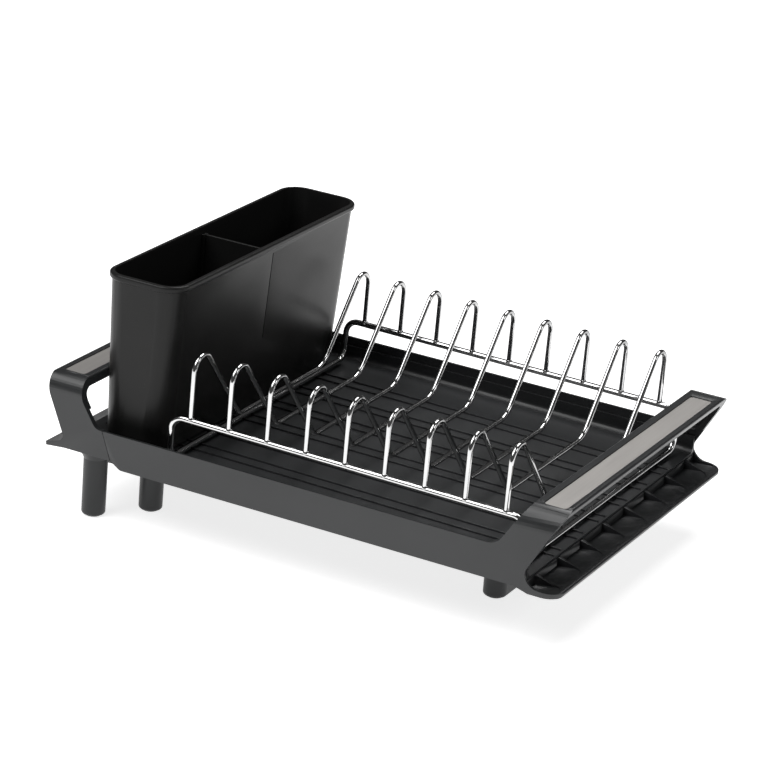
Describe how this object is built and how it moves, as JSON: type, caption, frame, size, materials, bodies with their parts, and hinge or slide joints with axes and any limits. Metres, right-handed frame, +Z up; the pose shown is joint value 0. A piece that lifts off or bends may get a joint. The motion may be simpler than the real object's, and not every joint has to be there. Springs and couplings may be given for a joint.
{
  "type": "dish drying rack",
  "caption": "Extending dish drying rack: sliding ribbed tray in an outer tray with a draining lip, wire plate rack, cutlery caddy with divider, arched handles and short legs.",
  "frame": {"origin": "on the worktop, under the middle of the closed rack", "axes": "+X towards the draining lip, +Y to the back, +Z up"},
  "size_m": [0.4611, 0.3246, 0.2072],
  "materials": {
    "tray_plastic": "satin",
    "caddy_plastic": "satin",
    "leg_plastic": "satin",
    "chrome_wire": "polished",
    "satin_metal": "satin",
    "rubber_pad": "matte"
  },
  "bodies": {
    "outer_tray": {"left_front_foot_pad": "rubber_pad", "left_front_leg": "leg_plastic", "left_rear_foot_pad": "rubber_pad", "left_rear_leg": "leg_plastic", "main_handle_inlay": "satin_metal", "main_tray": "tray_plastic", "right_front_foot_pad": "rubber_pad", "right_front_leg": "leg_plastic", "right_rear_foot_pad": "rubber_pad", "right_rear_leg": "leg_plastic"},
    "inner_tray": {"extension_front_foot_pad": "rubber_pad", "extension_front_leg": "leg_plastic", "extension_handle_inlay": "satin_metal", "extension_rear_foot_pad": "rubber_pad", "extension_rear_leg": "leg_plastic", "extension_tray": "tray_plastic"},
    "wire_rack": {"plate_wire_1": "chrome_wire", "plate_wire_2": "chrome_wire", "plate_wire_3": "chrome_wire", "plate_wire_4": "chrome_wire", "plate_wire_5": "chrome_wire", "plate_wire_6": "chrome_wire", "plate_wire_7": "chrome_wire", "plate_wire_8": "chrome_wire", "plate_wire_9": "chrome_wire", "rack_frame": "chrome_wire"},
    "caddy": {"caddy_body": "caddy_plastic"},
    "divider": {"caddy_divider": "caddy_plastic"}
  },
  "joints": [
    {"name": "tray_slide", "type": "slide", "parent": "outer_tray", "child": "inner_tray", "axis": [-1, 0, 0], "range_m": [0, 0.16]},
    {"name": "rack_lift", "type": "slide", "parent": "inner_tray", "child": "wire_rack", "axis": [0, 0, 1], "range_m": [0, 0.085]},
    {"name": "caddy_lift", "type": "slide", "parent": "inner_tray", "child": "caddy", "axis": [0, 0, 1], "range_m": [0, 0.16]},
    {"name": "divider_lift", "type": "slide", "parent": "caddy", "child": "divider", "axis": [0, 0, 1], "range_m": [0, 0.14]}
  ]
}
